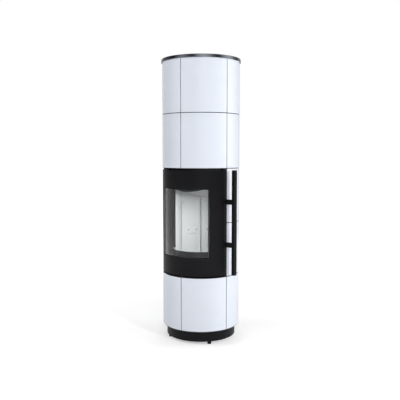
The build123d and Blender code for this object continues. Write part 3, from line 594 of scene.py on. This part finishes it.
class STOVE_OT_tiles(bpy.types.Operator):
    """Glazed tiles of all courses"""

    bl_idname = "stove.tiles"
    bl_label = "Tiles"

    def execute(self, context):
        glaze = glazed_stoneware(context.scene.stove_colours.glaze)
        # The tiles' sides get the dark clay, partly painted shade in the joints.
        clay = bare_stoneware(context.scene.stove_colours.clay)
        for node in sorted(body_of_node):
            if node.startswith("tile_"):
                front, back = tile_grids(round_extent(node), context.scene.stove_shapes)
                piece = slab_piece(f"glazed_{node}", front, back)
                stand_for(piece, node, glaze)
                glazed = (front.shape[0] - 1) * (front.shape[1] - 1)
                second_finish(piece, clay, np.arange(len(piece.data.polygons)) >= glazed)
        return {"FINISHED"}


# Top plate, plinth and feet


class STOVE_OT_top_plate(bpy.types.Operator):
    """Lid with its turned-down rim"""

    bl_idname = "stove.top_plate"
    bl_label = "Top plate"

    def execute(self, context):
        shapes = context.scene.stove_shapes
        hole, outer, _, _, rim_low, top = round_extent("top_plate")
        under, rim_inner = top - shapes.lid_sheet, outer - shapes.lid_rim
        points = [(hole, under), (rim_inner, under), (rim_inner, rim_low), (outer, rim_low), (outer, top),
                  (hole, top)]
        fine = shapes.sheet_edge
        outline = rounded_outline(points, [fine, fine, fine, fine, shapes.lid_edge, fine])
        finish = blackened_steel(context.scene.stove_colours.lid_steel)
        stand_for(turned_piece("lid", outline), "top_plate", finish)
        return {"FINISHED"}


class STOVE_OT_plinth(bpy.types.Operator):
    """Plinth skirt"""

    bl_idname = "stove.plinth"
    bl_label = "Plinth"

    def execute(self, context):
        shapes = context.scene.stove_shapes
        flange, outer, _, _, low, high = round_extent("plinth_skirt")
        inner, under = outer - shapes.plinth_sheet, high - shapes.plinth_sheet
        points = [(inner, low), (outer, low), (outer, high), (flange, high), (flange, under), (inner, under)]
        outline = rounded_outline(points, shapes.sheet_edge)
        finish = satin_stove_paint(context.scene.stove_colours.body_paint)
        stand_for(turned_piece("plinth", outline), "plinth_skirt", finish)
        return {"FINISHED"}


class STOVE_OT_feet(bpy.types.Operator):
    """Levelling feet: round pads on threaded studs"""

    bl_idname = "stove.feet"
    bl_label = "Feet"

    def execute(self, context):
        finish = black_zinc(context.scene.stove_colours.zinc)
        for node in sorted(body_of_node):
            if node.startswith("foot_"):
                rings = foot_rings(*corners(node), context.scene.stove_shapes)
                stand_for(tube_piece(f"levelling_{node}", rings), node, finish)
        return {"FINISHED"}


def foot_rings(low, high, shapes):
    """Circles up the foot: a pad with round edges, then a stud whose radius rises and falls by a thread.

    Thread: at each height and angle the stud shrinks by the depth times 1 - |2f - 1|, where f is the
    fraction of a turn left over from height / pitch - angle / full turn.
    """
    centre, (size, _, top) = (low + high) / 2, high - low
    pad, edge, pitch = shapes.foot_height, shapes.foot_edge, shapes.thread_pitch
    rise = np.sort(edge_lines(edge, pad))
    share = np.clip(1 - np.minimum(rise, pad - rise) / edge, 0, 1)
    pad_radius = size / 2 - edge * (1 - np.sqrt(1 - share**2))
    thread = np.arange(pad, top, pitch / STEPS_PER_THREAD)
    angle = np.linspace(0, 2 * math.pi, FOOT_SIDES, endpoint=False)
    turn = (thread[:, None] / pitch - angle[None, :] / (2 * math.pi)) % 1
    radius = np.concatenate([
        np.broadcast_to(pad_radius[:, None], (len(rise), FOOT_SIDES)),
        shapes.stud_radius - shapes.thread_depth * (1 - np.abs(2 * turn - 1)),
        np.full((1, FOOT_SIDES), shapes.stud_radius - shapes.thread_depth),
    ])
    x, y = centre[0] + radius * np.cos(angle), centre[1] + radius * np.sin(angle)
    height = low[2] + np.concatenate([rise, thread, [top]])
    return np.stack([x, y, np.broadcast_to(height[:, None], x.shape)], -1)


# Door

# Sheets of the frame that share the door skin's paint
PAINTED_DOOR_NODES = ("door_strip", "door_casing")
# Distance from a sheet's ends within which a vertex belongs to them
END_BAND = 0.1 * MM


def curved_sheet(extent, window=None):
    """Front and back grids of a sheet on the cylinder, and the cells outside its window."""
    inner, outer, start, end, low, high = extent
    left, right, sill, head = window or (start, end, low, high)
    bearing = grid_lines([start, left, right, end], ARC_STEP)
    height = grid_lines([low, sill, head, high], high - low)
    keep = np.ones((len(bearing) - 1, len(height) - 1), bool)
    if window:
        across, up = (bearing[1:] + bearing[:-1]) / 2, (height[1:] + height[:-1]) / 2
        keep = ~np.outer((across > left) & (across < right), (up > sill) & (up < head))
    b, z = bearing[:, None], height[None, :]
    return round_point(outer, b, z), round_point(inner, b, z), keep


def opening_in(node):
    """Bearings and heights of the window in a curved CAD sheet: the extent of its vertices between its ends.

    The sheet's own upright sides are straight, so they have no vertices there.
    """
    x, y, z = node_points(node).T
    bearing = np.arctan2(x, -y)
    inside = (z > z.min() + END_BAND) & (z < z.max() - END_BAND)
    return bearing[inside].min(), bearing[inside].max(), z[inside].min(), z[inside].max()


class STOVE_OT_door_sheets(bpy.types.Operator):
    """Curved door skin with its window, and the paint of the strip and the casing"""

    bl_idname = "stove.door_sheets"
    bl_label = "Door sheets"

    def execute(self, context):
        finish = satin_stove_paint(context.scene.stove_colours.body_paint)
        skin = slab_piece("door_sheet", *curved_sheet(round_extent("door_skin"), opening_in("door_skin")))
        stand_for(bevelled(skin, context.scene.stove_shapes.sheet_edge), "door_skin", finish)
        for node in PAINTED_DOOR_NODES:
            dress(node, finish)
        return {"FINISHED"}


class STOVE_OT_door_glass(bpy.types.Operator):
    """Curved pane, its tape and the door's sealing rope"""

    bl_idname = "stove.door_glass"
    bl_label = "Door glass"

    def execute(self, context):
        colours = context.scene.stove_colours
        pane = slab_piece("door_pane", *curved_sheet(round_extent("door_glass")))
        bevelled(pane, context.scene.stove_shapes.sheet_edge)
        stand_for(pane, "door_glass", ceramic_glass(colours.glass))
        # The tape's pale colour is partly painted highlight at the window's edge.
        dress("glass_tape", knitted_glass_fibre("glass_fibre_tape", colours.tape))
        dress("door_seal", knitted_glass_fibre("glass_fibre_rope", colours.rope))
        return {"FINISHED"}


class STOVE_OT_handle(bpy.types.Operator):
    """Square bar and its two brackets"""

    bl_idname = "stove.handle"
    bl_label = "Handle"

    def execute(self, context):
        finish = handle_powder_coat(context.scene.stove_colours.handle_paint)
        for node in ("handle_bar", "handle_brackets"):
            dress(node, finish)
        return {"FINISHED"}


# Fire lining


class Boss(NamedTuple):
    """A board's boss: where it ends, its air holes, and the border of the field beyond it.

    The end and the holes are measured from the board's first corner, the border from its second.
    """

    reach: float
    holes: tuple
    far_margin: float


def lining_plan():
    """Inner and outer plan points of the lining, from the right front to the left front.

    The outer points lie one thickness outside the inner line: at a corner, along the bisector of the
    two sides' normals, by the thickness over the cosine of half their turn.
    """
    cheek_low, _ = corners("lining_cheek_right")
    rear_low, _ = corners("lining_rear_right")
    back_low, back_high = corners("lining_back")
    right = np.array([cheek_low[:2], [cheek_low[0], rear_low[1]], [rear_low[0], back_low[1]]])
    inner = np.concatenate([right, right[::-1] * [-1, 1]])
    along = np.diff(inner, axis=0)
    along /= np.linalg.norm(along, axis=1)[:, None]
    normal = np.stack([along[:, 1], -along[:, 0]], -1)
    before, after = normal[[0, *range(len(normal))]], normal[[*range(len(normal)), -1]]
    middle = before + after
    reach = 2 / (middle**2).sum(1)[:, None]
    return inner, inner + middle * reach * (back_high[1] - back_low[1])


def sunk_field(along, height, width, boss, shapes):
    """Depth of a board's relief below its face.

    The field is a rectangle with round corners: its signed distance is |max(q, 0)| + min(max(q), 0) - r,
    where q is how far a point lies past the rectangle shrunk by r. The boss is a bar with round ends:
    the distance to its middle line, less half its height. Both edges are soft over the slope's width.
    The air holes are drilled on the boss's middle line. The upright edges are quarter rounds, as the
    tiles' edges are.
    """
    hearth, back = corners("hearth_stone")[1][2], corners("lining_back")[1][2]
    margin, corner, slope = shapes.field_margin, shapes.field_corner, shapes.field_slope
    low = np.array([margin, hearth + margin])
    high = np.array([width - boss.far_margin, back - margin])
    spot = np.stack(np.broadcast_arrays(along, height), -1)
    past = abs(spot - (low + high) / 2) - (high - low) / 2 + corner
    field = np.linalg.norm(np.maximum(past, 0), axis=-1) + np.minimum(past.max(-1), 0) - corner
    middle, half = hearth + shapes.boss_rise, shapes.boss_height / 2
    beside = along - np.clip(along, half, boss.reach - half)
    outside = np.hypot(beside, height - middle) - half
    depth = shapes.field_depth * smooth_step(-field / slope) * smooth_step(outside / slope)
    for hole in boss.holes:
        inside = shapes.hole_radius - np.hypot(along - hole, height - middle)
        depth = depth + shapes.hole_depth * smooth_step(inside / shapes.hole_edge)
    ends = shapes.board_gap / 2
    fold = np.clip(1 - (np.minimum(along, width - along) - ends) / shapes.board_edge, 0, 1)
    return depth + shapes.board_edge * (1 - np.sqrt(1 - fold**2))


def board_lines(width, knee, boss, shapes):
    """Lines along a board, and up it as far as a knee above its field: fine ones by the air holes."""
    floor, middle = corners("lining_back")[0][2], corners("hearth_stone")[1][2] + shapes.boss_rise
    near = 2 * shapes.hole_radius
    edge = edge_lines(shapes.board_edge, width - shapes.board_gap) + shapes.board_gap / 2
    along = [grid_lines(edge, BOARD_STEP)]
    along += [grid_lines([hole - near, hole + near], HOLE_STEP) for hole in boss.holes]
    rise = [grid_lines([floor, knee], BOARD_STEP), grid_lines([middle - near, middle + near], HOLE_STEP)]
    return tuple(np.unique(np.round(np.concatenate(lines), LINE_DECIMALS)) for lines in (along, rise))


def board_grid(ends, share, rise, shift=0.0):
    """Upright grid between two plan points, each point shifted in plan, that ends at the baffle's slope.

    Top: the back board's height, plus the slope times the distance in front of the back board. One
    row of cells spans from the last line to it.
    """
    cheek_low, cheek_high = corners("lining_cheek_right")
    back_low, back_high = corners("lining_back")
    slope = (cheek_high[2] - back_high[2]) / (back_low[1] - cheek_low[1])
    plan = np.broadcast_to(ends[0] + share[:, None, None] * (ends[1] - ends[0]), (len(share), len(rise), 2))
    top = back_high[2] + (back_low[1] - plan[:, :1, 1]) * slope
    plan = plan + shift
    height = np.concatenate([np.broadcast_to(rise, plan.shape[:2]), top], 1)
    return np.concatenate([np.concatenate([plan, plan[:, -1:]], 1), height[..., None]], -1)


def board_piece(name, inner, outer, boss, shapes):
    """Lining board between two inner and two outer plan points, and which of its faces are in air holes.

    Faces in the holes have a corner deeper than the field and the holes' soft edge.
    """
    knee = corners("lining_back")[1][2] - shapes.field_margin + shapes.field_slope
    width = np.linalg.norm(inner[1] - inner[0])
    along, rise = board_lines(width, knee, boss, shapes)
    relief = sunk_field(along[:, None], rise[None, :], width, boss, shapes)
    direction = (inner[1] - inner[0]) / width
    side = np.cross([*direction, 0], [0, 0, 1])[:2]
    side *= np.sign(side @ (outer[0] - inner[0]))
    front = board_grid(inner, along / width, rise, relief[..., None] * side)
    board = relief_piece(name, front, board_grid(outer, along / width, rise))
    deep = np.pad(relief, ((0, 0), (0, 1))) > shapes.field_depth + shapes.hole_edge
    cells = quads_of(deep).any(-1).reshape(-1)
    return board, np.pad(cells, (0, len(board.data.polygons) - len(cells)))


class STOVE_OT_lining(bpy.types.Operator):
    """Pressed boards round the fire, with sunk fields, bosses and air holes"""

    bl_idname = "stove.lining"
    bl_label = "Fire lining"

    def execute(self, context):
        shapes = context.scene.stove_shapes
        finish = pressed_vermiculite(context.scene.stove_colours.lining)
        # The bores get a near-black of painted shade.
        bore_shade = painted_shade_bore(context.scene.stove_colours.shade)
        inner, outer = lining_plan()
        half = inner[2][0]
        side = Boss(shapes.boss_reach, (shapes.near_hole, shapes.far_hole), -shapes.field_corner)
        back = Boss(2 * half + shapes.boss_height, (half - shapes.back_hole, half + shapes.back_hole),
                    shapes.field_margin)
        boards = {
            "lining_rear_right": ([2, 1], side),
            "lining_back": ([2, 3], back),
            "lining_rear_left": ([3, 4], side),
        }
        for node, (ends, boss) in boards.items():
            board, bored = board_piece(f"board_{node}", inner[ends], outer[ends], boss, shapes)
            stand_for(board, node, finish)
            second_finish(board, bore_shade, bored)
        for node, slot in slot_of_node.items():
            if slot == "fire_lining" and node not in boards:
                dress(node, finish)
        return {"FINISHED"}


# Inner parts


class STOVE_OT_inner_parts(bpy.types.Operator):
    """Finishes of the frame's steel, iron and stone parts"""

    bl_idname = "stove.inner_parts"
    bl_label = "Inner parts"

    def execute(self, context):
        colours = context.scene.stove_colours
        finishes = {
            "stove_paint": satin_stove_paint(colours.body_paint),
            "bare_steel": rolled_steel(colours.steel),
            "cast_iron": grey_cast_iron(colours.iron),
            "storage_stone": cast_storage_stone(colours.stone),
        }
        for node, slot in slot_of_node.items():
            replaced = frame["nodes"][node].hide_render
            if slot in finishes and not replaced and node not in PAINTED_DOOR_NODES:
                dress(node, finishes[slot])
        return {"FINISHED"}


# Stage


CAMERA_PLACE = (1.8862, -3.2798, 1.2522)
CAMERA_TURN = (math.radians(85.19), 0.0, math.radians(30.0))
CAMERA_LENS = 50.0
# Strength of the world's light on everything but gloss and the eye
SOFT_LIGHT = 0.34
# Points on the stove's axis that the soft boxes face
DOOR_LEVEL, TILE_LEVEL = (0.0, 0.0, 0.8), (0.0, 0.0, 1.0)
LAMPS = {
    "key_soft_box": dict(bearing=64.0, away=4.2, height=1.62, aim=DOOR_LEVEL, power=84.0, size=0.4),
    "front_soft_box": dict(bearing=35.0, away=4.1, height=2.8, aim=DOOR_LEVEL, power=30.0, size=1.2),
    "left_soft_box": dict(bearing=-50.0, away=4.0, height=2.6, aim=TILE_LEVEL, power=82.0, size=2.2),
    "right_soft_box": dict(bearing=120.0, away=4.0, height=1.7, aim=TILE_LEVEL, power=66.0, size=2.2),
    "back_soft_box": dict(bearing=-165.0, away=4.0, height=2.0, aim=TILE_LEVEL, power=45.0, size=2.2),
    "fire_spot": dict(bearing=28.0, away=1.6, height=1.22, aim=(-0.15, -0.05, 0.71), power=108.0, kind="SPOT",
                      spot_size=math.radians(20.0), spot_blend=0.85, shadow_soft_size=0.15),
}
# Bearing and brightness of the bands of light and shade that gloss shows
STUDIO_BANDS = ((-178, 0.5), (-125, 0.7), (-100, 0.2), (-55, 0.0), (-25, 0.45), (4, 0.02), (36, 0.9),
                (78, 0.0), (116, 1.0), (150, 0.05), (178, 0.5))
FLOOR_SIZE = 60.0
# Distance from the stove and strength of the floor's glow, where it starts to rise and where it ends
GLOW_NEAR, GLOW_FAR = (0.4, 0.45), (4.0, 0.85)
# Share of the glow that gloss shows
FLOOR_GLOSS = 0.4


def eye_rays(tree, path):
    """1 for rays of the camera, straight or through glass, and 0 for the rays that light the object."""
    through = add(tree, "ShaderNodeMath", {
        0: path.outputs["Is Transmission Ray"], 1: path.outputs["Diffuse Depth"]}, operation="SUBTRACT")
    return add(tree, "ShaderNodeMath", {
        0: path.outputs["Is Camera Ray"], 1: through.outputs[0]}, operation="MAXIMUM").outputs[0]


def studio_world():
    """White background, which gloss shows between dark flags, and soft grey light on everything else.

    The flags' ramp runs over the bearing of the ray, atan2(x, -y), a full turn from the back.
    """
    world = bpy.data.worlds.new("studio")
    world.use_nodes = True
    tree = world.node_tree
    tree.nodes.clear()
    ray = add(tree, "ShaderNodeSeparateXYZ", {"Vector": add(tree, "ShaderNodeTexCoord").outputs["Generated"]})
    front = add(tree, "ShaderNodeMath", {0: ray.outputs["Y"], 1: -1.0}, operation="MULTIPLY")
    bearing = add(tree, "ShaderNodeMath", {0: ray.outputs["X"], 1: front.outputs[0]}, operation="ARCTAN2")
    turn = add(tree, "ShaderNodeMath", {0: bearing.outputs[0], 1: 1 / (2 * math.pi), 2: 0.5},
               operation="MULTIPLY_ADD")
    flags = add(tree, "ShaderNodeValToRGB", {"Fac": turn.outputs[0]})
    flags.color_ramp.interpolation = "EASE"
    for degrees, level in STUDIO_BANDS:
        stop = flags.color_ramp.elements.new(degrees / 360 + 0.5)
        stop.color = (level, level, level, 1)
    for stop in (flags.color_ramp.elements[0], flags.color_ramp.elements[-1]):
        stop.color = flags.color_ramp.elements[1].color
    path = add(tree, "ShaderNodeLightPath")
    straight = add(tree, "ShaderNodeMix", {"Factor": eye_rays(tree, path), "A": SOFT_LIGHT, "B": 1.0})
    glossy = add(tree, "ShaderNodeMath", {0: path.outputs["Glossy Depth"], 1: path.outputs["Is Diffuse Ray"]},
                 operation="SUBTRACT", use_clamp=True)
    strength = add(tree, "ShaderNodeMix", {"Factor": glossy.outputs[0], "A": straight.outputs["Result"],
                                           "B": flags.outputs["Color"]})
    back = add(tree, "ShaderNodeBackground", {"Color": (1, 1, 1, 1), "Strength": strength.outputs["Result"]})
    out = add(tree, "ShaderNodeOutputWorld")
    tree.links.new(back.outputs[0], out.inputs["Surface"])
    return world


def white_floor(code):
    """Matt studio floor that keeps the stove's shadow, and glows to the eye where the lamps don't reach.

    Glow: from near to far over the distance from the stove, so that the floor joins the white behind it.
    """
    made, tree, out = material("matt_studio_floor")
    matt = add(tree, "ShaderNodeBsdfDiffuse", {"Color": (*code, 1)})
    path = add(tree, "ShaderNodeLightPath")
    place = add(tree, "ShaderNodeTexCoord")
    away = add(tree, "ShaderNodeVectorMath", {0: place.outputs["Object"]}, operation="LENGTH")
    level = add(tree, "ShaderNodeMapRange", {
        "Value": away.outputs["Value"], "From Min": GLOW_NEAR[0], "From Max": GLOW_FAR[0],
        "To Min": GLOW_NEAR[1], "To Max": GLOW_FAR[1]}, interpolation_type="SMOOTHSTEP")
    glow = add(tree, "ShaderNodeEmission", {"Color": (1, 1, 1, 1), "Strength": level.outputs["Result"]})
    none = add(tree, "ShaderNodeEmission", {"Strength": 0.0})
    gloss = add(tree, "ShaderNodeMath", {0: path.outputs["Is Glossy Ray"], 1: FLOOR_GLOSS},
                operation="MULTIPLY")
    seen = add(tree, "ShaderNodeMath", {0: eye_rays(tree, path), 1: gloss.outputs[0]}, operation="MAXIMUM")
    chosen = add(tree, "ShaderNodeMixShader", {0: seen.outputs[0], 1: none.outputs[0], 2: glow.outputs[0]})
    both = add(tree, "ShaderNodeAddShader", {0: matt.outputs[0], 1: chosen.outputs[0]})
    add_surface(tree, both, out)
    return made


def put_lamp(name, bearing, away, height, aim, power, kind="AREA", **settings):
    """Lamp at a bearing, a distance and a height, which faces the point it aims at.

    The eye, gloss and glass don't see it: the flags stand for it in gloss, and its light passes the
    pane straight.
    """
    lamp = bpy.data.lights.new(name, kind)
    lamp.energy = power
    for setting, value in settings.items():
        setattr(lamp, setting, value)
    holder = bpy.data.objects.new(name, lamp)
    holder.location = round_point(away, math.radians(bearing), height)
    x, y, z = np.array(holder.location) - aim
    holder.rotation_euler = (math.atan2(math.hypot(x, y), z), 0, math.atan2(x, -y))
    holder.visible_camera = holder.visible_glossy = holder.visible_transmission = False
    bpy.context.scene.collection.objects.link(holder)


class STOVE_OT_stage(bpy.types.Operator):
    """Pale floor, soft light and the camera"""

    bl_idname = "stove.stage"
    bl_label = "Stage"

    def execute(self, context):
        scene = context.scene
        reach = FLOOR_SIZE / 2
        square = [(-reach, -reach, 0), (reach, -reach, 0), (reach, reach, 0), (-reach, reach, 0)]
        mesh = bpy.data.meshes.new("floor")
        mesh.from_pydata(square, [], [(0, 1, 2, 3)])
        mesh.materials.append(white_floor(scene.stove_colours.floor))
        floor = bpy.data.objects.new("floor", mesh)
        scene.collection.objects.link(floor)
        scene.world = studio_world()
        for name, lamp in LAMPS.items():
            put_lamp(name, **lamp)
        camera = bpy.data.objects.new("camera", bpy.data.cameras.new("camera"))
        camera.location, camera.rotation_euler = CAMERA_PLACE, CAMERA_TURN
        camera.data.lens = CAMERA_LENS
        scene.collection.objects.link(camera)
        scene.camera = camera
        scene.view_settings.view_transform = "Standard"
        return {"FINISHED"}


# Add-on

operators = (
    STOVE_OT_tiles,
    STOVE_OT_top_plate,
    STOVE_OT_plinth,
    STOVE_OT_feet,
    STOVE_OT_door_sheets,
    STOVE_OT_door_glass,
    STOVE_OT_handle,
    STOVE_OT_lining,
    STOVE_OT_inner_parts,
    STOVE_OT_stage,
)


class STOVE_PT_panel(bpy.types.Panel):
    """Lists the stove's pieces and their settings"""

    bl_label = "Tiled Stove"
    bl_space_type = "VIEW_3D"
    bl_region_type = "UI"
    bl_category = "Stove"

    def draw(self, context):
        for operator in operators:
            self.layout.operator(operator.bl_idname)
        for group in (context.scene.stove_shapes, context.scene.stove_colours):
            for name in group.__annotations__:
                self.layout.prop(group, name)


classes = (StoveShapes, StoveColours, *operators, STOVE_PT_panel)


def register():
    """Adds the classes and their settings to Blender."""
    for item in classes:
        bpy.utils.register_class(item)
    bpy.types.Scene.stove_shapes = bpy.props.PointerProperty(type=StoveShapes)
    bpy.types.Scene.stove_colours = bpy.props.PointerProperty(type=StoveColours)


def unregister():
    """Takes the classes and their settings out again."""
    del bpy.types.Scene.stove_colours
    del bpy.types.Scene.stove_shapes
    for item in reversed(classes):
        bpy.utils.unregister_class(item)


def main():
    """Builds the stove and its stage."""
    register()
    for operator in operators:
        group, action = operator.bl_idname.split(".")
        getattr(getattr(bpy.ops, group), action)()


if __name__ == "__main__":
    main()
